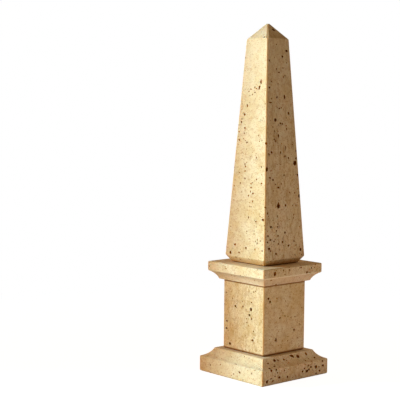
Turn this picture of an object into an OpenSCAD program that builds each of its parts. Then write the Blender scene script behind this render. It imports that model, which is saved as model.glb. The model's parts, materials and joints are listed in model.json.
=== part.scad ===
// Desk obelisk of honed travertine: a coved base, a square die, a coved cap and a tapered shaft,
// four stones stacked on thin beds of adhesive. Stands on Z = 0, centred on the Z axis, millimetres.

/* [Base] */
// Width of the square base across its plain band
base_w = 100; // [92:0.5:130]
// Height of the plain band round the foot of the base
base_band_h = 17; // [8:0.5:30]
// Height of the hollow moulding above that band
base_cove_h = 9.3; // [7:0.1:16]
// How far that hollow dips below a straight slope
base_cove_depth = 1.6; // [0.6:0.1:2.4]
// Width of the flat top of the base
base_top_w = 76.5; // [68:0.5:84]
// Slope taken off the edge that meets the table
base_foot_ease = 1.2; // [0.6:0.1:2.5]

/* [Die] */
// Width of the square block between base and cap
die_w = 63; // [50:0.5:67]
// Height of that block
die_h = 75.6; // [40:0.2:110]

/* [Cap] */
// Width of the square cap across its plain band
cap_w = 88.5; // [80:0.5:110]
// Height of the plain band of the cap
cap_band_h = 10.3; // [5:0.1:20]
// Height of the hollow moulding under that band
cap_cove_h = 9; // [7:0.1:14]
// How far that hollow dips below a straight slope
cap_cove_depth = 1.2; // [0.5:0.1:2]
// Width of the flat underside of the cap
cap_bottom_w = 70.5; // [68:0.5:76]

/* [Shaft] */
// Width of the shaft where it stands on the cap
shaft_foot_w = 51.5; // [40:0.5:58]
// Width of the shaft at its widest, above the undercut
shaft_wide_w = 61.5; // [58:0.5:72]
// Width of the shaft at the shoulder under its point
shaft_top_w = 32.5; // [22:0.5:44]
// Width of the small blunt end of the point
shaft_tip_w = 2.8; // [1.2:0.1:4]
// Height of the undercut at the foot of the shaft
shaft_bevel_h = 6.5; // [4:0.5:14]
// Height of the long straight taper
shaft_taper_h = 235; // [150:0.5:320]
// Height of the point above the shoulder
shaft_point_h = 16; // [10:0.1:40]

/* [Finish and bedding] */
// Slope taken off every sharp edge of the stones
arris = 0.8; // [0.3:0.1:1]
// Thickness of the adhesive between two stones
bed_t = 0.6; // [0.3:0.1:1.2]
// How far the adhesive stays back from the narrower stone's side
bed_recess = 1.4; // [1.2:0.1:4]

/* [Hidden] */
base_h = base_band_h + base_cove_h;
cap_h = cap_cove_h + cap_band_h;
shaft_h = shaft_bevel_h + shaft_taper_h + shaft_point_h;

die_z = base_h + bed_t;
cap_z = die_z + die_h + bed_t;
shaft_z = cap_z + cap_h + bed_t;

// Length by which a cutting shape runs past the stone it cuts
overrun = 1;

stone_colour = [0.88, 0.77, 0.58];
bed_colour = [0.27, 0.18, 0.10];

// Radius of a hollow that spans a straight slope and dips below it by depth
function cove_radius(span, depth) = (span * span / 4 + depth * depth) / (2 * depth);

// One half outline, as points from the bottom up, closed by its mirror image
module mirrored_outline(half) {
    count = len(half);
    polygon(concat(half, [for (i = [1:count]) [-half[count - i].x, half[count - i].y]]));
}

// Outline of a moulded stone: a plain band below, and a hollow that narrows to a flat top
module coved_outline(wide, narrow, band_h, cove_h, depth, foot_ease) {
    edge = [wide / 2 - arris, band_h];
    top = [narrow / 2, band_h + cove_h];
    span = norm(top - edge);
    out = [top.y - edge.y, edge.x - top.x] / span;
    radius = cove_radius(span, depth);
    centre = (edge + top) / 2 + out * (radius - depth);
    difference() {
        mirrored_outline([
            [wide / 2 - foot_ease, 0],
            [wide / 2, foot_ease],
            [wide / 2, band_h - arris],
            edge + [-overrun, overrun],
            top + [overrun, 0]
        ]);
        for (side = [-1, 1])
            translate([side * centre.x, centre.y])
                circle(r = radius, $fn = 96);
    }
}

// A square stone whose four sides share one outline, so that its mouldings mitre at the corners
module four_sided(wide) {
    intersection() {
        rotate([90, 0, 0])
            linear_extrude(wide + 2 * overrun, center = true)
                children();
        rotate([90, 0, 90])
            linear_extrude(wide + 2 * overrun, center = true)
                children();
    }
}

// A square post turned by an eighth of a turn, which takes the sharp corners off a square stone
module corner_post(wide, height) {
    post = (wide - arris) * sqrt(2);
    rotate([0, 0, 45])
        translate([-post / 2, -post / 2, -overrun])
            cube([post, post, height + 2 * overrun]);
}

module coved_stone(wide, narrow, band_h, cove_h, depth, foot_ease) {
    intersection() {
        four_sided(wide)
            coved_outline(wide, narrow, band_h, cove_h, depth, foot_ease);
        corner_post(wide, band_h + cove_h);
    }
}

// Outline of the shaft: half widths stretched and then drawn in, bends drawn in towards the taper
module shaft_outline(stretch, drawn_in, bend_shift) {
    function half(w) = w / 2 * stretch - drawn_in;
    mirrored_outline([
        [half(shaft_foot_w), 0],
        [half(shaft_wide_w), shaft_bevel_h + bend_shift],
        [half(shaft_top_w), shaft_bevel_h + shaft_taper_h - bend_shift],
        [half(shaft_tip_w), shaft_h]
    ]);
}

module bed(stone_w, z) {
    wide = stone_w - 2 * bed_recess;
    color(bed_colour)
        translate([-wide / 2, -wide / 2, z])
            cube([wide, wide, bed_t]);
}

module base() {
    color(stone_colour)
        coved_stone(base_w, base_top_w, base_band_h, base_cove_h, base_cove_depth, base_foot_ease);
}

module base_bed() {
    bed(die_w, base_h);
}

module die() {
    color(stone_colour)
        translate([0, 0, die_z])
            intersection() {
                four_sided(die_w)
                    mirrored_outline([
                        [die_w / 2 - arris, 0],
                        [die_w / 2, arris],
                        [die_w / 2, die_h - arris],
                        [die_w / 2 - arris, die_h]
                    ]);
                corner_post(die_w, die_h);
            }
}

module die_bed() {
    bed(die_w, die_z + die_h);
}

module cap() {
    color(stone_colour)
        translate([0, 0, cap_z + cap_h])
            mirror([0, 0, 1])
                coved_stone(cap_w, cap_bottom_w, cap_band_h, cap_cove_h, cap_cove_depth, arris);
}

module shaft_bed() {
    bed(shaft_foot_w, cap_z + cap_h);
}

module shaft() {
    color(stone_colour)
        translate([0, 0, shaft_z])
            intersection() {
                four_sided(shaft_wide_w)
                    shaft_outline(1, 0, 0);
                rotate([0, 0, 45])
                    four_sided(shaft_wide_w * sqrt(2))
                        shaft_outline(sqrt(2), arris / sqrt(2), arris);
            }
}

base();
base_bed();
die();
die_bed();
cap();
shaft_bed();
shaft();
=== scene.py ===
import json
import random
from math import pi, radians

import bmesh
import bpy
from mathutils import Matrix, Vector, noise
from mathutils.bvhtree import BVHTree

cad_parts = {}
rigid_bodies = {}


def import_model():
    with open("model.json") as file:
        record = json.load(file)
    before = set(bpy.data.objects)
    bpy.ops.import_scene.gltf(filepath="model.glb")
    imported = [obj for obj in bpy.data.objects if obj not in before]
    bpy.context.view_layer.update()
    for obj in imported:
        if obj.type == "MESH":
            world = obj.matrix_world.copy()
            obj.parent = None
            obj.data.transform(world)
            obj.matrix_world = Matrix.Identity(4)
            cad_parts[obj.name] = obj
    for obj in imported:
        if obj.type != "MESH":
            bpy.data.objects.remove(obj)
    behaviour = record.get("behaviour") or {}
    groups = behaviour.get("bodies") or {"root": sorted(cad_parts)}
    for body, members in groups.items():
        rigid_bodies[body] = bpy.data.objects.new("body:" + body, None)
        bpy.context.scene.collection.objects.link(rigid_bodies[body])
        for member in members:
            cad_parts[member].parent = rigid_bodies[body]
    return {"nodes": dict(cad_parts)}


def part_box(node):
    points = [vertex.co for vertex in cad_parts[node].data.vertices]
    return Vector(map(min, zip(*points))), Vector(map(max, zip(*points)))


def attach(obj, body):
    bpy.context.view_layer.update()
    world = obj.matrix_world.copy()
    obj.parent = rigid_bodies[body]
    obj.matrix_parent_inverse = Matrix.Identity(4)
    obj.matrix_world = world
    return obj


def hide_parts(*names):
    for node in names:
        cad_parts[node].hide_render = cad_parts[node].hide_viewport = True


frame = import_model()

scene = bpy.context.scene
scene.view_settings.view_transform = "Standard"
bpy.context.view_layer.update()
mm = 0.001

# the view of the photograph, whose picture is 400 pixels square
view = {
    "place": (-0.9046, -0.9228, 0.3067),
    "turn": -41.26,     # degrees about the upright, from looking along +Y
    "tilt": 5.18,       # degrees down
    "roll": 0.49,
    "lens": 107.05,
    "sensor": 36.0,
    "picture": 400,
    "nearest": 0.01,
    "middle": (0, 0, 0.2),   # a ray that misses the stone is taken at this point's distance
}


def makeCamera():
    data = bpy.data.cameras.new("camera")
    data.lens = view["lens"]
    data.sensor_width = view["sensor"]
    data.clip_start = view["nearest"]
    camera = bpy.data.objects.new("camera", data)
    scene.collection.objects.link(camera)
    camera.matrix_world = (
        Matrix.Translation(view["place"])
        @ Matrix.Rotation(radians(view["turn"]), 4, "Z")
        @ Matrix.Rotation(pi / 2 - radians(view["tilt"]), 4, "X")
        @ Matrix.Rotation(radians(view["roll"]), 4, "Z")
    )
    scene.camera = camera
    return camera


def pixelRay(camera, x, y):
    half = view["picture"] / 2
    focal = view["lens"] / view["sensor"] * view["picture"]
    toPoint = Vector(((x - half) / focal, (half - y) / focal, -1))
    return camera.matrix_world.translation, (camera.matrix_world.to_3x3() @ toPoint).normalized()


camera = makeCamera()
print("camera set")

# a soft-edged beam and a broad key from the left, a warm card and the floor's glow on the right,
# and two lamps for the far sides
light = {
    "aim": (0.0, 0.0, 0.19),
    "worldStrength": 0.22,
    "worldColour": (1.0, 0.60, 0.28, 1),
    "key": {"power": 20.8, "place": (-2.10, 0.70, 0.60), "size": (1.0, 0.8), "colour": (1.0, 0.49, 0.23)},
    "beam": {"power": 350.0, "place": (-1.91, 1.68, 0.85), "aim": (-2.693, -2.942, 0.517),
             "cone": 117.65, "blend": 0.039, "radius": 0.03, "colour": (0.73, 0.98, 0.96)},
    "card": {"power": 0.089, "place": (0.03, -0.26, 0.02), "size": (0.36, 0.03), "colour": (1.0, 0.73, 0.61)},
    "bounce": {"power": 2.14, "place": (0.35, -0.77, 0.001), "size": (1.6, 1.4), "colour": (1.0, 0.76, 0.67)},
    "farSide": {"power": 5.0, "place": (1.20, 0.30, 0.20), "size": (0.6, 0.4), "colour": (1.0, 0.80, 0.60)},
    "backSide": {"power": 16.0, "place": (0.35, 2.00, 0.24), "size": (1.0, 0.5), "colour": (1.0, 0.86, 0.70)},
}


def hangLamp(name, data, towards):
    plan = light[name]
    data.energy = plan["power"]
    data.color = plan["colour"]
    lamp = bpy.data.objects.new(name + "Lamp", data)
    scene.collection.objects.link(lamp)
    lamp.location = plan["place"]
    lamp.rotation_euler = Vector(towards).to_track_quat("-Z", "Y").to_euler()
    lamp.visible_camera = False


def areaLamp(name, towards):
    data = bpy.data.lights.new(name + "Lamp", "AREA")
    data.shape = "RECTANGLE"
    data.size, data.size_y = light[name]["size"]
    hangLamp(name, data, towards)


def spotLamp(name):
    plan = light[name]
    data = bpy.data.lights.new(name + "Lamp", "SPOT")
    data.spot_size = radians(plan["cone"])
    data.spot_blend = plan["blend"]
    data.shadow_soft_size = plan["radius"]
    hangLamp(name, data, Vector(plan["aim"]) - Vector(plan["place"]))


for lampName in ("key", "farSide", "backSide"):
    areaLamp(lampName, Vector(light["aim"]) - Vector(light[lampName]["place"]))
areaLamp("card", (0, 1, 0))
areaLamp("bounce", (0, 0, 1))
spotLamp("beam")


def addNode(tree, kind, **settings):
    made = tree.nodes.new(kind)
    for name, value in settings.items():
        setattr(made, name, value)
    return made


# a socket takes another node's output or a plain value
def feed(tree, value, socket):
    if hasattr(value, "links"):
        tree.links.new(value, socket)
    else:
        socket.default_value = value


def mathNode(tree, operation, first, second=0.0):
    made = addNode(tree, "ShaderNodeMath", operation=operation)
    feed(tree, first, made.inputs[0])
    feed(tree, second, made.inputs[1])
    return made.outputs[0]


def seenDirectly(tree):
    path = addNode(tree, "ShaderNodeLightPath")
    either = mathNode(tree, "MAXIMUM", path.outputs["Is Camera Ray"], path.outputs["Is Glossy Ray"])
    return mathNode(tree, "MAXIMUM", either, path.outputs["Is Transmission Ray"])


def makeWorld():
    world = bpy.data.worlds.new("studio")
    scene.world = world
    world.use_nodes = True
    tree = world.node_tree
    tree.nodes.clear()
    dim = addNode(tree, "ShaderNodeBackground")
    dim.inputs["Strength"].default_value = light["worldStrength"]
    dim.inputs["Color"].default_value = light["worldColour"]
    white = addNode(tree, "ShaderNodeBackground")
    white.inputs["Color"].default_value = (1, 1, 1, 1)
    mix = addNode(tree, "ShaderNodeMixShader")
    out = addNode(tree, "ShaderNodeOutputWorld")
    tree.links.new(seenDirectly(tree), mix.inputs[0])
    tree.links.new(dim.outputs[0], mix.inputs[1])
    tree.links.new(white.outputs[0], mix.inputs[2])
    tree.links.new(mix.outputs[0], out.inputs["Surface"])


floorSet = {
    "reach": 6.0,
    "paper": (0.50, 0.42, 0.31, 1),  # how it throws light back on the stone
    "glow": 0.95,         # white that shows near the foot without lamps
    "shadowPaper": 0.24,  # what the lamps light there, so that the shadow shows
    "clearFrom": 0.16,    # from here out the floor turns to plain white
    "clearTo": 0.60,
}


def makeFloor():
    reach = floorSet["reach"]
    mesh = bpy.data.meshes.new("floor")
    corners = [(-reach, -reach, 0), (reach, -reach, 0), (reach, reach, 0), (-reach, reach, 0)]
    mesh.from_pydata(corners, [], [(0, 1, 2, 3)])
    floor = bpy.data.objects.new("floor", mesh)
    scene.collection.objects.link(floor)
    material = bpy.data.materials.new("floorPaper")
    material.use_nodes = True
    tree = material.node_tree
    tree.nodes.clear()
    link = tree.links.new
    plain = addNode(tree, "ShaderNodeBsdfDiffuse")
    plain.inputs["Color"].default_value = floorSet["paper"]
    shown = addNode(tree, "ShaderNodeBsdfDiffuse")
    shown.inputs["Color"].default_value = (floorSet["shadowPaper"],) * 3 + (1,)
    glow = addNode(tree, "ShaderNodeEmission")
    glow.inputs["Strength"].default_value = floorSet["glow"]
    white = addNode(tree, "ShaderNodeEmission")
    near = addNode(tree, "ShaderNodeAddShader")
    where = addNode(tree, "ShaderNodeTexCoord")
    away = addNode(tree, "ShaderNodeVectorMath", operation="LENGTH")
    clear = addNode(tree, "ShaderNodeMapRange", interpolation_type="SMOOTHSTEP")
    clear.inputs["From Min"].default_value = floorSet["clearFrom"]
    clear.inputs["From Max"].default_value = floorSet["clearTo"]
    fade = addNode(tree, "ShaderNodeMixShader")
    mix = addNode(tree, "ShaderNodeMixShader")
    out = addNode(tree, "ShaderNodeOutputMaterial")
    link(shown.outputs[0], near.inputs[0])
    link(glow.outputs[0], near.inputs[1])
    link(where.outputs["Object"], away.inputs[0])
    link(away.outputs["Value"], clear.inputs["Value"])
    link(clear.outputs["Result"], fade.inputs[0])
    link(near.outputs[0], fade.inputs[1])
    link(white.outputs[0], fade.inputs[2])
    link(seenDirectly(tree), mix.inputs[0])
    link(plain.outputs[0], mix.inputs[1])
    link(fade.outputs[0], mix.inputs[2])
    link(mix.outputs[0], out.inputs["Surface"])
    mesh.materials.append(material)


makeWorld()
makeFloor()
print("light and floor set")

stoneLook = {
    "cream": (0.82, 0.76, 0.57, 1),
    "tan": (0.73, 0.61, 0.36, 1),
    # the pale beds of the stone, also painted light on the upper shaft and the base's cove
    "paleBedsAndPaintedLight": (0.88, 0.85, 0.70, 1),
    "streak": (0.50, 0.36, 0.17, 1),
    "grain": (0.52, 0.325, 0.115, 1),
    "fleck": (0.42, 0.205, 0.05, 1),
    # painted glow where light passes through the upright corners
    "arris": (0.82, 0.59, 0.27, 1),
    # painted shade in the undercut foot of the shaft
    "undercutShade": (0.46, 0.230, 0.030, 1),
    "poreWall": (0.32, 0.116, 0.015, 1),
    "poreRim": (0.72, 0.35, 0.045, 1),
    "adhesive": (0.13, 0.050, 0.012, 1),
    "adhesiveDust": (0.26, 0.100, 0.024, 1),
    # painted shade beside the joints, with some adhesive stain
    "joint": (0.24, 0.10, 0.020, 1),
    # painted highlight along the foot of the cap's band
    "paintedHighlight": (0.92, 0.86, 0.72, 1),
    "paintedShadeTone": (0.70, 0.53, 0.39, 1),   # painted shade on the flat tops and under the cap's band
}

stoneFinish = {
    "roughness": (0.52, 0.72),
    "poreRoughness": 0.9,
    "adhesiveRoughness": 0.7,
    "glow": 0.4,                 # share of the light that goes into the stone
    "glowReach": (1.0, 0.7, 0.5),
    "glowScale": 0.8 * mm,
    "beddingStretch": (0.24, 0.34),   # sideways and upwards
    "grainStretch": (0.5, 0.75),
    "bedding": 0.6,
    "grains": 0.75,
    "flecks": 0.9,
    "streaksAlong": 0.35,        # share that is left on the sides along the bedding
    "grainsAlong": 0.75,
    # share of the painted glow at the upright corners
    "arris": 0.8,
    "paintedGlowFrom": 0.4 * mm,       # the painted glow of light through the upright corners fades out over this distance from the corner
    "paintedGlowTo": 1.9 * mm,
    "paintedGlowLevel": (0.80, 0.95),  # and as the surface turns level
    # painted shade on faces that turn level
    "paintedTopShade": 0.5,
    "paintedTopShadeLevel": (0.90, 0.99),
    # share and reach of the painted highlight at the band's foot
    "paintedHighlight": 0.7,
    "paintedHighlightReach": (0.3 * mm, 0.9 * mm),
    # share of the painted shade beside the joints
    "stain": 0.85,
    "pitting": 0.45,
    "lumps": 0.4,
    "bumpDepth": 0.3 * mm,
}

# scale, detail, roughness and distortion of each noise, and the values between which it comes in
markings = {
    "clouds": ((42, 5, 0.60, 0.0), 0.32, 0.62),
    "bedding": ((110, 4, 0.60, 0.4), 0.46, 0.72),
    "streaks": ((300, 4, 0.62, 0.5), 0.49, 0.70),
    "mottle": ((150, 5, 0.65, 0.6), 0.50, 0.72),
    "grains": ((520, 4, 0.66, 0.3), 0.52, 0.70),
    "flecks": ((900, 3, 0.55, 0.0), 0.58, 0.69),
    "pitting": ((900, 3, 0.55, 0.0), 0.50, 0.75),
    "polish": ((260, 3, 0.55, 0.0), 0.30, 0.70),
    "poreStain": ((480, 3, 0.55, 0.0), 0.48, 0.72),
    "adhesive": ((300, 3, 0.55, 0.0), 0.40, 0.65),
}


def newMaterial(name):
    material = bpy.data.materials.new(name)
    material.use_nodes = True
    tree = material.node_tree
    shader = tree.nodes["Principled BSDF"]
    shader.inputs["Specular IOR Level"].default_value = 0.0
    return material, tree, shader


def spread(tree, value, low, high, toLow=0.0, toHigh=1.0):
    made = addNode(tree, "ShaderNodeMapRange")
    made.inputs["From Min"].default_value = low
    made.inputs["From Max"].default_value = high
    made.inputs["To Min"].default_value = toLow
    made.inputs["To Max"].default_value = toHigh
    tree.links.new(value, made.inputs["Value"])
    return made.outputs["Result"]


def marking(tree, vector, title, toLow=0.0, toHigh=1.0, sooner=0.0):
    settings, starts, full = markings[title]
    made = addNode(tree, "ShaderNodeTexNoise")
    for socket, value in zip(("Scale", "Detail", "Roughness", "Distortion"), settings):
        made.inputs[socket].default_value = value
    tree.links.new(vector, made.inputs["Vector"])
    return spread(tree, made.outputs["Fac"], starts - sooner, full - sooner, toLow, toHigh)


def blendColour(tree, amount, first, second):
    made = addNode(tree, "ShaderNodeMix", data_type="RGBA", blend_type="MIX")
    for value, socket in ((amount, made.inputs[0]), (first, made.inputs[6]), (second, made.inputs[7])):
        feed(tree, value, socket)
    return made.outputs[2]


def placed(tree, shift=(0, 0, 0), turn=(0, 0, 0), stretch=(1, 1, 1)):
    where = addNode(tree, "ShaderNodeTexCoord")
    mapping = addNode(tree, "ShaderNodeMapping")
    mapping.inputs["Location"].default_value = shift
    mapping.inputs["Rotation"].default_value = [radians(a) for a in turn]
    mapping.inputs["Scale"].default_value = stretch
    tree.links.new(where.outputs["Object"], mapping.inputs["Vector"])
    return mapping.outputs["Vector"]


def bumped(tree, shader, height, strength):
    bump = addNode(tree, "ShaderNodeBump")
    bump.inputs["Strength"].default_value = strength
    bump.inputs["Distance"].default_value = stoneFinish["bumpDepth"]
    tree.links.new(height, bump.inputs["Height"])
    tree.links.new(bump.outputs["Normal"], shader.inputs["Normal"])


def axesOf(tree, vector):
    split = addNode(tree, "ShaderNodeSeparateXYZ")
    tree.links.new(vector, split.inputs[0])
    return split.outputs


def objectAxes(tree):
    return axesOf(tree, addNode(tree, "ShaderNodeTexCoord").outputs["Object"])


def facing(tree, axis):
    surface = addNode(tree, "ShaderNodeNewGeometry")
    return mathNode(tree, "ABSOLUTE", axesOf(tree, surface.outputs["True Normal"])[axis])


# painted glow of light through the upright corners, which on all four sides lie where x and y are equally far
# out
def paintedArrisGlow(tree):
    place = objectAxes(tree)
    out = [mathNode(tree, "ABSOLUTE", place[axis]) for axis in ("X", "Y")]
    apart = mathNode(tree, "ABSOLUTE", mathNode(tree, "SUBTRACT", out[0], out[1]))
    corner = spread(tree, apart, stoneFinish["paintedGlowFrom"], stoneFinish["paintedGlowTo"], 1.0, 0.0)
    upright = spread(tree, facing(tree, "Z"), *stoneFinish["paintedGlowLevel"], stoneFinish["arris"], 0.0)
    return mathNode(tree, "MULTIPLY", corner, upright)


def atHeight(tree, full, gone, amount):
    return spread(tree, objectAxes(tree)["Z"], full, gone, amount, 0.0)


# the bedding stands upright, square to X or to Y, and streaks the sides that cut across it
def travertine(name, plan, low, high):
    material, tree, shader = newMaterial(name)
    squareToX = plan["beddingAxis"] == "X"
    cutSides = "Y" if squareToX else "X"

    def alongBedding(sideways, upwards):
        stretch = (1, sideways, upwards) if squareToX else (sideways, 1, upwards)
        return placed(tree, plan["shift"], plan["turn"], stretch)

    def cutAcross(amount, left):
        share = spread(tree, facing(tree, cutSides), 0.0, 1.0, left, 1.0)
        return mathNode(tree, "MULTIPLY", amount, share)

    here = placed(tree, plan["shift"], plan["turn"])
    along = alongBedding(*stoneFinish["beddingStretch"])
    finer = alongBedding(*stoneFinish["grainStretch"])
    clouds = marking(tree, here, "clouds", sooner=plan["paler"])
    colour = blendColour(tree, clouds, stoneLook["tan"], stoneLook["cream"])
    bedding = marking(tree, along, "bedding", 0.0, stoneFinish["bedding"])
    colour = blendColour(tree, bedding, colour, stoneLook["paleBedsAndPaintedLight"])
    streaks = cutAcross(marking(tree, along, "streaks", 0.0, plan["streaky"]), stoneFinish["streaksAlong"])
    colour = blendColour(tree, streaks, colour, stoneLook["streak"])
    mottle = marking(tree, here, "mottle", 0.0, plan["mottled"])
    colour = blendColour(tree, mottle, colour, stoneLook["streak"])
    grains = cutAcross(marking(tree, finer, "grains", 0.0, stoneFinish["grains"]), stoneFinish["grainsAlong"])
    colour = blendColour(tree, grains, colour, stoneLook["grain"])
    flecks = marking(tree, here, "flecks", 0.0, stoneFinish["flecks"])
    colour = blendColour(tree, flecks, colour, stoneLook["fleck"])
    # painted glow along the upright corners
    colour = blendColour(tree, paintedArrisGlow(tree), colour, stoneLook["arris"])
    # painted shade on the flat tops
    paintedTopShade = spread(tree, facing(tree, "Z"), *stoneFinish["paintedTopShadeLevel"], 0.0, stoneFinish["paintedTopShade"])
    colour = blendColour(tree, paintedTopShade, colour, stoneLook["paintedShadeTone"])
    # painted light and shade by height
    for paintedColour, full, gone, amount in plan["paintedLightAndShade"]:
        paintedBand = atHeight(tree, low.z + full, low.z + gone, amount)
        colour = blendColour(tree, paintedBand, colour, stoneLook[paintedColour])
    if "paintedHighlightEdge" in plan:   # painted highlight, paler along the foot of the band
        edge = high.z - plan["paintedHighlightEdge"]
        full, gone = stoneFinish["paintedHighlightReach"]
        below = atHeight(tree, edge + full, edge + gone, stoneFinish["paintedHighlight"])
        above = atHeight(tree, edge - full, edge - gone, 1.0)
        colour = blendColour(tree, mathNode(tree, "MULTIPLY", below, above), colour, stoneLook["paintedHighlight"])
    for reach in plan["jointShadeReaches"]:   # painted shade beside a joint, with some adhesive stain, up from the foot or down from the head
        joint = low.z if reach > 0 else high.z
        jointShade = atHeight(tree, joint + 0.5 * reach, joint + reach, stoneFinish["stain"])
        colour = blendColour(tree, jointShade, colour, stoneLook["joint"])
    tree.links.new(colour, shader.inputs["Base Color"])
    polish = marking(tree, here, "polish", *stoneFinish["roughness"])
    tree.links.new(polish, shader.inputs["Roughness"])
    shader.inputs["Subsurface Weight"].default_value = stoneFinish["glow"]
    shader.inputs["Subsurface Radius"].default_value = stoneFinish["glowReach"]
    shader.inputs["Subsurface Scale"].default_value = stoneFinish["glowScale"]
    bumped(tree, shader, marking(tree, here, "pitting", 1.0, 0.0), stoneFinish["pitting"])
    return material


def poreStain():
    material, tree, shader = newMaterial("poreStain")
    shader.inputs["Roughness"].default_value = stoneFinish["poreRoughness"]
    patches = marking(tree, placed(tree), "poreStain")
    colour = blendColour(tree, patches, stoneLook["poreWall"], stoneLook["poreRim"])
    tree.links.new(colour, shader.inputs["Base Color"])
    return material


def beddingAdhesive():
    material, tree, shader = newMaterial("beddingAdhesive")
    shader.inputs["Roughness"].default_value = stoneFinish["adhesiveRoughness"]
    patches = marking(tree, placed(tree), "adhesive")
    colour = blendColour(tree, patches, stoneLook["adhesive"], stoneLook["adhesiveDust"])
    tree.links.new(colour, shader.inputs["Base Color"])
    bumped(tree, shader, patches, stoneFinish["lumps"])
    return material


stain = poreStain()
adhesive = beddingAdhesive()

# irregular hollows of unit size, sunk a little, that cut the pores
poreShapes = {
    "roughness": 0.42,
    "lumps": 1.3,          # scale of the lumps, and of the finer ones on them
    "fineLumps": 2.9,
    "fineShare": 0.5,
    "apart": (9.7, 4.3),   # steps through the noise from shape to shape
    "sunk": 0.32,
    "seed": 5,
    "depth": (0.45, 0.65),   # share of the smaller of width and height
    "litSpread": 1.26,
    "shadeSpread": 1.10,
    "shadeDepth": 3.2,       # on the sides turned from the key the pores go deeper
    "shadeMargin": 0.1,
}


def poreCollection(name, count, divisions):
    collection = bpy.data.collections.new(name)
    alongNoise, acrossNoise = poreShapes["apart"]
    for index in range(count):
        mesh = bpy.data.meshes.new(f"{name}{index}")
        shape = bmesh.new()
        bmesh.ops.create_icosphere(shape, subdivisions=divisions, radius=1)
        where = Vector((index * alongNoise + poreShapes["seed"], divisions * acrossNoise, 0))
        for vertex in shape.verts:
            swell = noise.noise(vertex.co * poreShapes["lumps"] + where)
            swell += poreShapes["fineShare"] * noise.noise(vertex.co * poreShapes["fineLumps"] + where)
            vertex.co *= 1 + poreShapes["roughness"] * swell
            vertex.co.z -= poreShapes["sunk"]
        shape.to_mesh(mesh)
        shape.free()
        mesh.materials.append(stain)
        collection.objects.link(bpy.data.objects.new(f"{name}{index}", mesh))
    return collection


roundPores = poreCollection("roundPore", 9, 2)
plainPits = poreCollection("plainPit", 6, 1)

# small and large are half widths
scatter = {
    "Pit Spacing": 1.6 * mm,
    "Pit Small": 0.26 * mm,
    "Pit Large": 0.80 * mm,
    "Pore Spacing": 3.4 * mm,
    "Pore Small": 0.65 * mm,
    "Pore Large": 1.85 * mm,
    "pitSalt": 10,           # keeps the random draws of pits and pores apart
    "poreSalt": 30,
    "patchScale": 42.0,
    "patchStretch": (1, 1, 0.55),
    "patchShows": (0.40, 0.66),
    "pitsBetween": 0.03,     # share of the pits that is left between patches
    "poresBetween": 0.25,    # and of the far sides' pores
    "pitsOnX": 0.85,         # the sides that face along X are a little less pitted
    "underside": -0.98,      # faces turned down more than this stay whole
    "farFacing": -0.35,
    "cornerClear": 4.0 * mm,   # scattered pores stay this far behind the corners between seen and far sides
    "lean": 1.0,
    "smallness": 2.6,        # a higher power makes large ones rarer
    "wide": (0.75, 1.15),
    "tall": (0.8, 1.9),
    "deep": (1.0, 1.6),
}

carvingInputs = {
    "Geometry": "Geometry",
    "Pit Density": "Float",
    "Pit Spacing": "Float",
    "Pit Small": "Float",
    "Pit Large": "Float",
    "Pore Density": "Float",
    "Pore Spacing": "Float",
    "Pore Small": "Float",
    "Pore Large": "Float",
    "Seed": "Int",
    "Seen Pores": "Object",
    "Stone": "Material",
}


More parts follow.
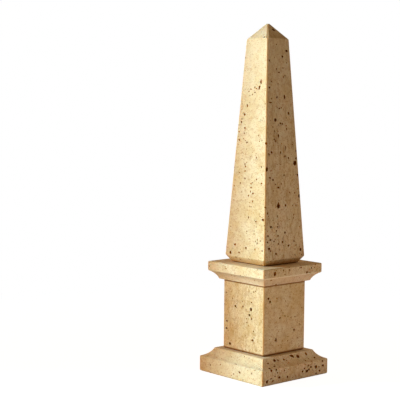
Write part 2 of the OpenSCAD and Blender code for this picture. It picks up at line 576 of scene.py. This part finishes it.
def carvingTree():
    tree = bpy.data.node_groups.new("carvePores", "GeometryNodeTree")
    for title, kind in carvingInputs.items():
        tree.interface.new_socket(title, in_out="INPUT", socket_type="NodeSocket" + kind)
    tree.interface.new_socket("Geometry", in_out="OUTPUT", socket_type="NodeSocketGeometry")
    given = addNode(tree, "NodeGroupInput").outputs
    result = addNode(tree, "NodeGroupOutput")
    link = tree.links.new

    def math(operation, first, second=0.0):
        return mathNode(tree, operation, first, second)

    def randomValue(low, high, salt):
        made = addNode(tree, "FunctionNodeRandomValue", data_type="FLOAT")
        made.inputs[2].default_value = low
        made.inputs[3].default_value = high
        link(math("ADD", given["Seed"], salt), made.inputs["Seed"])
        return made.outputs[1]

    def copies(points, shapes, turn, size):
        group = addNode(tree, "GeometryNodeCollectionInfo")
        group.inputs["Collection"].default_value = shapes
        group.inputs["Separate Children"].default_value = True
        group.inputs["Reset Children"].default_value = True
        made = addNode(tree, "GeometryNodeInstanceOnPoints")
        made.inputs["Pick Instance"].default_value = True
        link(points, made.inputs["Points"])
        link(group.outputs[0], made.inputs["Instance"])
        link(turn, made.inputs["Rotation"])
        link(size, made.inputs["Scale"])
        return made.outputs[0]

    normal = axesOf(tree, addNode(tree, "GeometryNodeInputNormal").outputs[0])
    position = addNode(tree, "GeometryNodeInputPosition").outputs[0]
    place = axesOf(tree, position)
    notUnder = math("GREATER_THAN", normal["Z"], scatter["underside"])
    squeeze = addNode(tree, "ShaderNodeVectorMath", operation="MULTIPLY")
    squeeze.inputs[1].default_value = scatter["patchStretch"]
    link(position, squeeze.inputs[0])
    patches = addNode(tree, "ShaderNodeTexNoise", noise_dimensions="4D")
    patches.inputs["Scale"].default_value = scatter["patchScale"]
    patches.inputs["Detail"].default_value = 2.0
    link(squeeze.outputs[0], patches.inputs["Vector"])
    link(given["Seed"], patches.inputs["W"])
    thick = spread(tree, patches.outputs["Fac"], *scatter["patchShows"], scatter["pitsBetween"])
    across = spread(tree, math("ABSOLUTE", normal["Y"]), 0.0, 1.0, scatter["pitsOnX"])
    # the two sides of the photograph face -X and -Y and take their larger pores from it
    turnedAway = math("GREATER_THAN", math("ADD", normal["X"], normal["Y"]), scatter["farFacing"])
    behind = math("GREATER_THAN", math("ADD", place["X"], place["Y"]), scatter["cornerClear"])
    farSides = math("MULTIPLY", turnedAway, behind)

    def scattered(kind, factor, shapes, salt):
        small, large = given[kind + " Small"], given[kind + " Large"]
        points = addNode(tree, "GeometryNodeDistributePointsOnFaces", distribute_method="POISSON")
        link(given[kind + " Spacing"], points.inputs["Distance Min"])
        link(given["Geometry"], points.inputs["Mesh"])
        link(notUnder, points.inputs["Selection"])
        link(given[kind + " Density"], points.inputs["Density Max"])
        link(factor, points.inputs["Density Factor"])
        link(math("ADD", given["Seed"], salt), points.inputs["Seed"])
        upright = addNode(tree, "FunctionNodeAlignRotationToVector", axis="Y", pivot_axis="Z")
        upright.inputs["Vector"].default_value = (0, 0, 1)
        link(points.outputs["Rotation"], upright.inputs["Rotation"])
        lean = addNode(tree, "FunctionNodeRotateRotation", rotation_space="LOCAL")
        turn = addNode(tree, "ShaderNodeCombineXYZ")
        link(randomValue(-scatter["lean"], scatter["lean"], salt + 1), turn.inputs["Z"])
        link(upright.outputs["Rotation"], lean.inputs["Rotation"])
        link(turn.outputs[0], lean.inputs["Rotate By"])
        size = math("POWER", randomValue(0.0, 1.0, salt + 2), scatter["smallness"])
        size = math("ADD", math("MULTIPLY", size, math("SUBTRACT", large, small)), small)
        stretch = addNode(tree, "ShaderNodeCombineXYZ")
        for step, (axis, share) in enumerate((("X", "wide"), ("Y", "tall"), ("Z", "deep"))):
            link(math("MULTIPLY", size, randomValue(*scatter[share], salt + 3 + step)), stretch.inputs[axis])
        return copies(points.outputs["Points"], shapes, lean.outputs["Rotation"], stretch.outputs[0])

    pits = scattered("Pit", math("MULTIPLY", thick, across), plainPits, scatter["pitSalt"])
    evened = math("MAXIMUM", thick, scatter["poresBetween"])
    pores = scattered("Pore", math("MULTIPLY", evened, farSides), roundPores, scatter["poreSalt"])

    seen = addNode(tree, "GeometryNodeObjectInfo")
    link(given["Seen Pores"], seen.inputs["Object"])
    tilt = addNode(tree, "GeometryNodeInputNamedAttribute", data_type="FLOAT_VECTOR")
    tilt.inputs["Name"].default_value = "tilt"
    size = addNode(tree, "GeometryNodeInputNamedAttribute", data_type="FLOAT_VECTOR")
    size.inputs["Name"].default_value = "size"
    turned = addNode(tree, "FunctionNodeEulerToRotation")
    link(tilt.outputs[0], turned.inputs[0])
    seenPores = copies(seen.outputs["Geometry"], roundPores, turned.outputs[0], size.outputs[0])

    cut = addNode(tree, "GeometryNodeMeshBoolean", operation="DIFFERENCE", solver="MANIFOLD")
    link(given["Geometry"], cut.inputs["Mesh 1"])
    for cutter in (pits, pores, seenPores):
        link(cutter, cut.inputs["Mesh 2"])
    real = addNode(tree, "GeometryNodeRealizeInstances")
    link(cut.outputs["Mesh"], real.inputs[0])
    inPore = addNode(tree, "GeometryNodeMaterialSelection")
    inPore.inputs["Material"].default_value = stain
    onFace = addNode(tree, "FunctionNodeBooleanMath", operation="NOT")
    link(inPore.outputs[0], onFace.inputs[0])
    faced = addNode(tree, "GeometryNodeSetMaterial")
    link(real.outputs[0], faced.inputs["Geometry"])
    link(onFace.outputs[0], faced.inputs["Selection"])
    link(given["Stone"], faced.inputs["Material"])
    link(faced.outputs[0], result.inputs[0])
    return tree


carving = carvingTree()
print("materials and carving tree made")

blankSet = {
    "weld": 0.001 * mm,
    "flatWithin": 0.5,       # degrees
    "easeSegments": 3,
    "easeAngle": 20,
}


# the stone's CAD mesh, merged and with its flat faces whole
def cutBlank(node, plan):
    mesh = frame["nodes"][node].data.copy()
    shape = bmesh.new()
    shape.from_mesh(mesh)
    bmesh.ops.remove_doubles(shape, verts=shape.verts, dist=blankSet["weld"])
    flat = radians(blankSet["flatWithin"])
    bmesh.ops.dissolve_limit(shape, angle_limit=flat, verts=shape.verts, edges=shape.edges)
    shape.to_mesh(mesh)
    shape.free()
    mesh.materials.clear()
    return mesh


def coveArc(edge, top, dip, steps):
    span = top - edge
    radius = (span.length_squared / 4 + dip * dip) / (2 * dip)
    outward = Vector((span.y, -span.x)).normalized()
    centre = (edge + top) / 2 + outward * (radius - dip)
    first = edge - centre
    sweep = -first.angle_signed(top - centre)
    return [centre + Matrix.Rotation(sweep * i / steps, 2) @ first for i in range(steps + 1)]


# a coved stone, made ring by ring so that its hollow is finer than the CAD mesh
def mouldedBlank(node, plan):
    low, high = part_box(node)
    half = (high.x - low.x) / 2
    arris = plan["arris"]
    edge = Vector((half - arris, plan["band"]))
    top = Vector((plan["narrow"] / 2, high.z - low.z))
    outline = [Vector((half - plan["footEase"], 0)), Vector((half, plan["footEase"]))]
    outline.append(Vector((half, plan["band"] - arris)))
    outline += coveArc(edge, top, plan["coveDip"], plan["coveSteps"])
    shape = bmesh.new()
    rings = []
    for reach, height in outline:
        z = high.z - height if plan["bandOnTop"] else low.z + height
        leg = max(arris - 2 * (half - reach), plan["mitreEase"])
        near = reach - leg
        corners = [(reach, -near), (reach, near), (near, reach), (-near, reach)]
        corners += [(-x, -y) for x, y in corners]
        rings.append([shape.verts.new((x, y, z)) for x, y in corners])
    for lower, upper in zip(rings[:-1], rings[1:]):
        for i in range(len(lower)):
            j = (i + 1) % len(lower)
            shape.faces.new((lower[i], lower[j], upper[j], upper[i]))
    shape.faces.new(rings[0][::-1])
    shape.faces.new(rings[-1])
    bmesh.ops.recalc_face_normals(shape, faces=shape.faces)
    mesh = bpy.data.meshes.new(node + "Blank")
    shape.to_mesh(mesh)
    shape.free()
    return mesh


def stoneBlank(node, plan):
    mesh = plan["form"](node, plan)
    blank = bpy.data.objects.new(node + "Blank", mesh)
    scene.collection.objects.link(blank)
    ease = blank.modifiers.new("ease", "BEVEL")
    ease.width = plan["softness"]
    ease.segments = blankSet["easeSegments"]
    ease.limit_method = "ANGLE"
    ease.angle_limit = radians(blankSet["easeAngle"])
    return blank


# where each pore of the photograph meets the stone, with its tilt and half sizes
def seenPoints(name, blank, plan):
    draw = random.Random(plan["seed"])
    shape = bmesh.new()
    shape.from_mesh(blank.data)
    surface = BVHTree.FromBMesh(shape)
    shape.free()
    up = Vector((0, 0, 1))
    places, tilts, sizes = [], [], []
    for x, y, wide, tall, lean in plan["seen"]:
        start, towards = pixelRay(camera, x, y)
        hit, normal, _, _ = surface.ray_cast(start, towards)
        if hit is None:
            near = start + towards * (Vector(view["middle"]) - start).dot(towards)
            hit, normal, _, _ = surface.find_nearest(near)
        across = up.cross(normal).normalized()
        rise = normal.cross(across)
        turn = Matrix((across, rise, normal)).transposed() @ Matrix.Rotation(radians(-lean), 3, "Z")
        places.append(hit)
        tilts.append(turn.to_euler())
        shaded = normal.y < normal.x - poreShapes["shadeMargin"]
        deeper = poreShapes["shadeDepth"] if shaded else plan["litDepth"]
        deep = min(wide, tall) * draw.uniform(*poreShapes["depth"]) * deeper
        opened = poreShapes["shadeSpread" if shaded else "litSpread"] / 2
        sizes.append(Vector((wide * opened, tall * opened, deep)) * mm)
    mesh = bpy.data.meshes.new(name)
    mesh.from_pydata(places, [], [])
    for title, values in (("tilt", tilts), ("size", sizes)):
        layer = mesh.attributes.new(title, "FLOAT_VECTOR", "POINT")
        for index, value in enumerate(values):
            layer.data[index].vector = value
    points = bpy.data.objects.new(name, mesh)
    scene.collection.objects.link(points)
    return points


# cut faces stay flat up to the rims, and only the hollows are shaded round
def shadeFaces(mesh):
    poreIndex = mesh.materials.find(stain.name)
    for face in mesh.polygons:
        face.use_smooth = face.material_index == poreIndex


def carveStone(name, node, plan):
    blank = stoneBlank(node, plan)
    low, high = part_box(node)
    points = seenPoints(node + "Seen", blank, plan)
    modifier = blank.modifiers.new("carve", "NODES")
    modifier.node_group = carving
    given = {
        "Pit Density": plan["pits"],
        "Pore Density": plan["pores"],
        "Seed": plan["seed"],
        "Seen Pores": points,
        "Stone": travertine(name + "Face", plan, low, high),
    }
    for item in carving.interface.items_tree:
        if item.in_out == "INPUT" and item.name != "Geometry":
            modifier[item.identifier] = given[item.name] if item.name in given else scatter[item.name]
    mesh = bpy.data.meshes.new_from_object(blank.evaluated_get(bpy.context.evaluated_depsgraph_get()))
    mesh.name = name
    for helper in (blank, points):
        bpy.data.objects.remove(helper)
    shadeFaces(mesh)
    stone = bpy.data.objects.new(name, mesh)
    scene.collection.objects.link(stone)
    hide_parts(node)
    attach(stone, "root")
    print(name, "carved,", len(mesh.polygons), "faces,", len(plan["seen"]), "pores from the photograph")


# seen: pores read off the photograph, as pixel x, pixel y, width and height in mm, lean in degrees
# painted light and shade by height: a colour, the heights above the foot at which it is full and gone, and
# its share
# painted shade beside a joint, with some adhesive stain: how far it reaches, up from the foot or, below zero,
# down from the head
# pits and pores: a square metre's count before the patches thin it
shaftStone = {
    "form": cutBlank,
    # painted shade in the undercut foot, and painted light paler towards the top
    "paintedLightAndShade": [("undercutShade", 1.5 * mm, 6.8 * mm, 0.55), ("paleBedsAndPaintedLight", 230 * mm, 120 * mm, 0.22)],
    "jointShadeReaches": (0.7 * mm,),
    "softness": 0.25 * mm,
    "pits": 60000.0,
    "pores": 26000.0,
    "litDepth": 0.75,
    "seed": 11,
    "paler": 0.03,
    "streaky": 0.8,
    "mottled": 0.25,
    "beddingAxis": "X",
    "shift": (0.31, 0.12, 0.05),
    "turn": (0, 3, 4),
    "seen": [
        (273.5, 30.0, 3.8, 3.2, 0), (286.5, 51.0, 3.4, 2.9, 0), (282.5, 56.5, 2.8, 2.3, 0),
        (279.0, 72.5, 2.3, 1.9, 0), (271.5, 81.5, 1.7, 1.7, 0), (269.5, 87.5, 2.3, 2.2, 0),
        (277.0, 97.0, 3.1, 1.9, -15), (284.5, 97.0, 2.3, 4.3, 0), (270.5, 102.5, 4.3, 1.6, 0),
        (279.5, 108.5, 3.4, 1.2, -20), (288.5, 113.5, 2.5, 3.6, 0), (275.5, 120.0, 3.6, 3.8, 0),
        (280.5, 123.5, 2.3, 2.2, 0), (286.5, 129.0, 1.3, 2.4, 0), (278.5, 136.0, 2.0, 3.6, 0),
        (275.5, 141.0, 2.2, 1.9, 30), (271.5, 152.5, 2.8, 2.4, 30), (269.0, 154.5, 2.6, 2.4, 30),
        (280.5, 152.5, 1.7, 2.9, 10), (288.5, 158.0, 2.4, 2.3, 0), (295.0, 163.0, 4.8, 5.4, 8),
        (296.0, 158.5, 2.4, 2.6, 10), (296.0, 151.0, 1.7, 2.2, 0), (267.0, 169.5, 2.8, 5.0, 5),
        (284.0, 175.0, 2.3, 2.2, 0), (297.5, 175.0, 2.6, 2.6, 0), (270.0, 178.0, 2.4, 2.4, 0),
        (273.0, 180.0, 2.5, 2.2, 0), (275.5, 184.5, 1.6, 1.6, 0), (278.5, 187.5, 3.2, 2.0, 0),
        (299.0, 196.0, 2.2, 4.2, 0), (279.0, 200.5, 1.4, 1.4, 0), (278.5, 206.5, 4.1, 4.8, 0),
        (278.5, 203.5, 2.2, 3.6, 0), (285.5, 205.5, 2.6, 2.5, 0), (292.5, 205.5, 1.4, 1.7, 0),
        (296.0, 205.5, 1.7, 2.5, 0), (265.5, 207.5, 2.4, 1.4, 0), (271.0, 227.0, 3.1, 2.4, 0),
        (277.5, 227.0, 1.9, 1.8, 0), (285.0, 232.5, 2.5, 2.3, 0), (276.5, 231.0, 1.9, 1.8, 0),
        (268.0, 236.0, 2.6, 2.5, 0), (278.0, 236.0, 1.9, 2.6, 0), (270.5, 240.0, 3.2, 2.0, 0),
        (274.0, 241.5, 2.4, 1.4, -25), (267.5, 242.5, 1.9, 2.2, 0), (282.5, 242.0, 2.5, 2.5, 0),
        (283.0, 238.5, 1.0, 5.5, 8), (294.0, 241.0, 2.0, 1.9, 0), (278.5, 244.0, 1.8, 2.0, 0),
        (288.5, 245.5, 2.8, 2.3, 0), (269.0, 249.0, 3.5, 2.6, 0), (270.5, 251.0, 1.8, 2.4, 0),
        (300.5, 249.5, 2.9, 3.2, 0), (276.0, 254.0, 3.1, 2.2, 0), (264.5, 37.0, 2.2, 2.0, 30),
        (261.0, 82.0, 2.0, 4.2, -5), (259.5, 87.5, 2.2, 3.6, 20), (256.5, 88.5, 2.0, 1.0, -10),
        (251.0, 89.0, 1.8, 1.4, 30), (249.0, 91.5, 1.7, 1.1, -40), (255.0, 92.5, 2.0, 1.1, -30),
        (252.5, 94.5, 1.8, 1.0, -25), (250.0, 95.5, 1.4, 0.9, -25),
        (247.5, 105.5, 1.6, 2.8, -15), (244.5, 114.5, 2.9, 2.3, 30), (241.5, 122.0, 2.2, 2.0, 0),
        (245.0, 128.0, 2.2, 1.7, 0), (245.0, 130.0, 1.4, 1.0, 0), (239.0, 131.5, 1.8, 1.6, 0),
        (243.5, 138.5, 1.2, 1.2, 0), (239.5, 140.0, 1.7, 2.2, 0), (247.0, 142.5, 2.1, 1.9, -30),
        (266.5, 143.5, 3.0, 2.2, 0), (256.5, 158.0, 1.2, 1.5, 20), (245.0, 164.0, 1.9, 1.4, 0),
        (245.5, 166.5, 2.4, 1.5, 30), (245.0, 171.0, 2.0, 1.6, 0), (245.0, 178.5, 1.7, 2.0, -15),
        (261.5, 167.0, 1.5, 1.4, 20), (256.5, 179.5, 1.6, 1.4, 0), (261.5, 183.5, 2.2, 1.8, -20),
        (240.5, 183.0, 1.7, 1.5, 0), (251.0, 187.5, 2.4, 1.4, 20), (250.5, 191.5, 1.3, 1.8, 0),
        (253.0, 193.5, 2.2, 1.8, 0), (248.5, 195.5, 2.0, 1.7, 0), (252.5, 201.5, 1.6, 1.9, -15),
        (248.5, 217.5, 1.5, 2.3, 0), (256.0, 221.5, 2.0, 1.7, 0), (263.0, 220.0, 3.4, 2.6, 0),
        (255.5, 241.5, 1.3, 1.3, 0), (235.0, 244.5, 2.8, 2.0, 0), (246.0, 248.0, 2.1, 2.4, -25),
        (255.0, 249.5, 1.7, 1.8, 25), (262.0, 251.0, 1.9, 1.6, 0), (230.5, 252.5, 2.4, 2.6, -20),
        (239.0, 252.5, 2.2, 1.7, 0), (236.0, 257.0, 3.0, 1.2, -15), (240.5, 259.5, 2.0, 1.4, 0),
        (249.0, 259.0, 1.8, 1.1, 30), (262.0, 265.0, 1.6, 1.2, 30), (283.0, 105.0, 1.2, 1.2, 0),
        (282.5, 124.0, 1.9, 1.6, 0), (278.5, 125.0, 1.4, 1.1, 0), (274.5, 131.0, 1.3, 1.3, 0),
        (278.0, 131.5, 1.3, 1.1, 0), (273.0, 136.0, 1.0, 1.0, 0), (274.0, 139.5, 1.5, 1.6, 0),
        (278.0, 143.0, 1.3, 1.1, 0), (281.5, 143.5, 1.1, 1.1, 0), (285.5, 148.0, 1.1, 5.0, 3),
        (285.0, 156.5, 1.7, 2.6, 0), (280.5, 164.5, 1.0, 1.3, 0), (281.5, 184.0, 1.4, 1.4, 0),
        (289.5, 192.5, 1.3, 2.2, 0), (294.5, 193.0, 1.3, 2.0, 0), (267.5, 213.5, 1.6, 3.2, 0),
        (277.5, 216.5, 1.2, 2.8, 0), (293.5, 218.0, 1.1, 1.8, 0), (273.0, 220.5, 1.6, 1.1, 0),
        (279.5, 250.0, 1.1, 1.1, 0), (295.0, 249.0, 1.3, 1.8, 0), (295.0, 255.0, 0.9, 2.8, 0),
        (242.0, 109.5, 1.0, 1.2, 0), (242.0, 119.0, 1.2, 1.6, 0), (247.0, 129.0, 1.0, 1.0, 0),
        (239.0, 125.0, 1.2, 1.2, 0), (244.5, 133.5, 1.0, 1.0, 0), (245.5, 140.5, 1.2, 1.0, 0),
        (262.0, 140.5, 1.0, 1.6, 0), (249.5, 206.0, 1.8, 0.9, 0), (260.0, 216.5, 1.4, 1.0, 20),
        (256.5, 227.0, 1.0, 1.2, 0), (254.0, 234.0, 1.4, 1.0, 0), (276.5, 44.5, 1.5, 1.6, 0),
        (269.5, 60.5, 1.5, 2.2, 0), (286.5, 63.0, 1.2, 1.6, 0), (283.0, 68.0, 1.4, 2.0, 0),
        (276.5, 69.0, 1.5, 1.8, 0), (285.0, 75.5, 1.2, 2.4, 0), (283.5, 77.0, 1.3, 2.4, 0),
        (278.0, 84.0, 1.3, 2.2, 0), (275.0, 132.0, 1.2, 1.4, 0), (274.5, 139.0, 1.2, 1.2, 0),
    ],
}

capStone = {
    "form": mouldedBlank,
    "bandOnTop": True,
    "band": 10.3 * mm,
    # painted highlight at this depth below the top
    "paintedHighlightEdge": 10.0 * mm,
    # painted shade on the cove under the band
    "paintedLightAndShade": [("paintedShadeTone", 7.5 * mm, 9.0 * mm, 0.45)],
    "coveDip": 1.2 * mm,
    "coveSteps": 36,
    "narrow": 70.5 * mm,
    "arris": 0.8 * mm,
    "footEase": 0.8 * mm,
    "mitreEase": 0.35 * mm,
    "jointShadeReaches": (),
    "softness": 0.25 * mm,
    "pits": 60000.0,
    "pores": 26000.0,
    "litDepth": 1.0,
    "seed": 23,
    "paler": 0.05,
    "streaky": 0.6,
    "mottled": 0.25,
    "beddingAxis": "X",
    "shift": (0.77, 0.41, 0.33),
    "turn": (0, 25, -6),
    "seen": [
        (275.0, 274.0, 3.6, 4.6, 10), (283.5, 270.5, 1.7, 2.3, 0), (289.5, 270.0, 2.2, 1.7, 0),
        (285.0, 274.5, 1.8, 0.9, 0), (301.0, 267.5, 2.2, 1.6, 35), (311.5, 268.0, 2.0, 1.8, 0),
        (307.0, 272.0, 3.0, 2.6, 0), (310.0, 272.5, 1.8, 1.6, 0), (271.0, 280.5, 3.0, 2.2, 0),
        (276.0, 284.5, 2.0, 1.8, 0), (240.5, 275.5, 1.4, 1.2, 0), (226.0, 268.5, 1.5, 0.9, 0),
    ],
}

dieStone = {
    "form": cutBlank,
    "paintedLightAndShade": [],
    "jointShadeReaches": (2.1 * mm, -2.1 * mm),
    "softness": 0.25 * mm,
    "pits": 36000.0,
    "pores": 26000.0,
    "litDepth": 2.2,
    "seed": 37,
    "paler": -0.07,
    "streaky": 0.5,
    "mottled": 0.85,
    "beddingAxis": "Y",
    "shift": (0.13, 0.92, 0.58),
    "turn": (0, -12, 8),
    "seen": [
        (253.5, 292.0, 1.6, 1.0, -30), (251.5, 302.5, 1.8, 1.4, 0), (235.5, 306.0, 2.4, 2.0, 0),
        (243.0, 306.5, 1.4, 2.1, 0), (251.0, 309.5, 3.2, 3.0, 0), (249.5, 312.0, 0.9, 0.9, 0),
        (249.5, 315.0, 2.6, 2.4, 0), (251.5, 319.0, 1.7, 1.6, 0), (227.0, 321.0, 2.0, 2.2, 0),
        (226.5, 328.0, 3.6, 1.4, 0), (253.5, 331.5, 1.4, 1.5, 0), (247.0, 322.5, 1.6, 1.0, -40),
        (252.5, 340.5, 2.9, 1.9, 0), (254.0, 338.0, 1.3, 1.1, 0), (230.0, 343.5, 3.0, 2.5, 0),
        (268.5, 298.5, 3.0, 2.9, 0), (270.0, 302.0, 2.9, 2.8, 0), (285.5, 301.0, 1.2, 1.2, 0),
        (283.0, 313.0, 1.4, 1.3, 0), (285.0, 316.0, 1.6, 1.9, 0), (280.0, 318.0, 2.9, 1.7, -35),
        (291.0, 317.5, 1.3, 1.4, 0), (295.0, 316.5, 1.4, 1.4, 0), (288.0, 316.5, 1.2, 1.4, 0),
        (297.0, 322.0, 1.3, 1.2, 0), (299.5, 324.0, 1.4, 1.2, 0), (294.0, 330.0, 2.3, 3.5, 15),
        (288.0, 336.5, 1.4, 1.4, 0), (276.0, 340.0, 2.2, 5.0, 0), (299.0, 346.0, 1.6, 1.4, 0),
    ],
}

baseStone = {
    "form": mouldedBlank,
    "bandOnTop": False,
    "band": 17.0 * mm,
    "coveDip": 1.6 * mm,
    "coveSteps": 40,
    "narrow": 76.5 * mm,
    "arris": 0.8 * mm,
    "footEase": 1.2 * mm,
    "mitreEase": 0.35 * mm,
    # painted light, paler on the base's cove
    "paintedLightAndShade": [("paleBedsAndPaintedLight", 26.0 * mm, 15.0 * mm, 0.2)],
    "jointShadeReaches": (),
    "softness": 0.30 * mm,
    "pits": 60000.0,
    "pores": 26000.0,
    "litDepth": 1.2,
    "seed": 41,
    "paler": 0.08,
    "streaky": 0.7,
    "mottled": 0.2,
    "beddingAxis": "X",
    "shift": (0.58, 0.27, 0.81),
    "turn": (0, 18, 5),
    "seen": [
        (274.5, 360.5, 3.6, 3.2, -25), (278.0, 360.5, 2.2, 3.0, 0), (284.0, 359.5, 2.9, 2.5, 0),
        (291.5, 356.0, 5.1, 3.2, 20), (293.0, 356.5, 2.8, 2.8, 0), (298.0, 356.5, 4.2, 4.2, 0),
        (295.5, 352.0, 2.1, 1.8, 0), (306.0, 354.0, 2.8, 3.6, 0), (314.5, 357.5, 3.0, 2.1, -30),
        (305.5, 360.5, 2.1, 1.8, 0), (268.0, 363.5, 2.9, 1.8, 0), (274.5, 366.5, 3.0, 1.8, 20),
        (269.5, 368.5, 2.5, 2.1, 0), (276.5, 370.0, 2.5, 2.4, 0), (271.5, 371.0, 2.8, 2.8, 0),
        (277.5, 372.5, 2.1, 2.1, 0), (284.5, 370.5, 1.8, 1.8, 0), (279.5, 377.5, 3.0, 2.8, -30),
        (287.5, 377.0, 2.4, 2.4, 0), (275.0, 376.5, 1.8, 1.8, 0), (271.0, 379.0, 2.1, 1.8, 0),
        (273.0, 381.0, 2.1, 1.8, 0), (267.0, 382.0, 3.6, 3.0, 0), (308.5, 365.5, 3.0, 2.1, -35),
        (311.0, 367.0, 2.8, 2.4, 20), (316.0, 367.0, 3.9, 3.6, 0), (319.0, 367.0, 1.8, 2.1, 0),
        (322.5, 361.0, 2.8, 2.1, 0), (323.0, 365.5, 3.0, 2.8, 0), (307.0, 371.0, 4.2, 3.2, 0),
        (309.0, 369.5, 2.4, 2.4, 0), (302.5, 371.5, 2.5, 2.1, 0), (304.5, 368.5, 2.0, 1.8, 0),
        (319.5, 370.5, 3.0, 2.9, 0), (316.0, 373.5, 2.1, 1.8, 0), (239.5, 372.5, 2.2, 1.9, 0),
        (233.5, 374.0, 1.8, 0.9, -20), (251.5, 373.5, 1.0, 1.8, 0), (235.5, 364.0, 1.4, 1.2, 0),
        (220.5, 364.5, 1.6, 1.2, 0), (210.5, 365.0, 1.6, 1.2, 0), (243.0, 380.0, 1.3, 1.0, 0),
    ],
}

carveStone("shaftStone", "shaft", shaftStone)
carveStone("capStone", "cap", capStone)
carveStone("dieStone", "die", dieStone)
carveStone("baseStone", "base", baseStone)

for bed in ("base_bed", "die_bed", "shaft_bed"):
    for slot in frame["nodes"][bed].material_slots:
        slot.material = adhesive
print("beds finished")

for shapes in (roundPores, plainPits):
    for helper in list(shapes.objects):
        bpy.data.objects.remove(helper)
    bpy.data.collections.remove(shapes)
print("cutting shapes cleared")
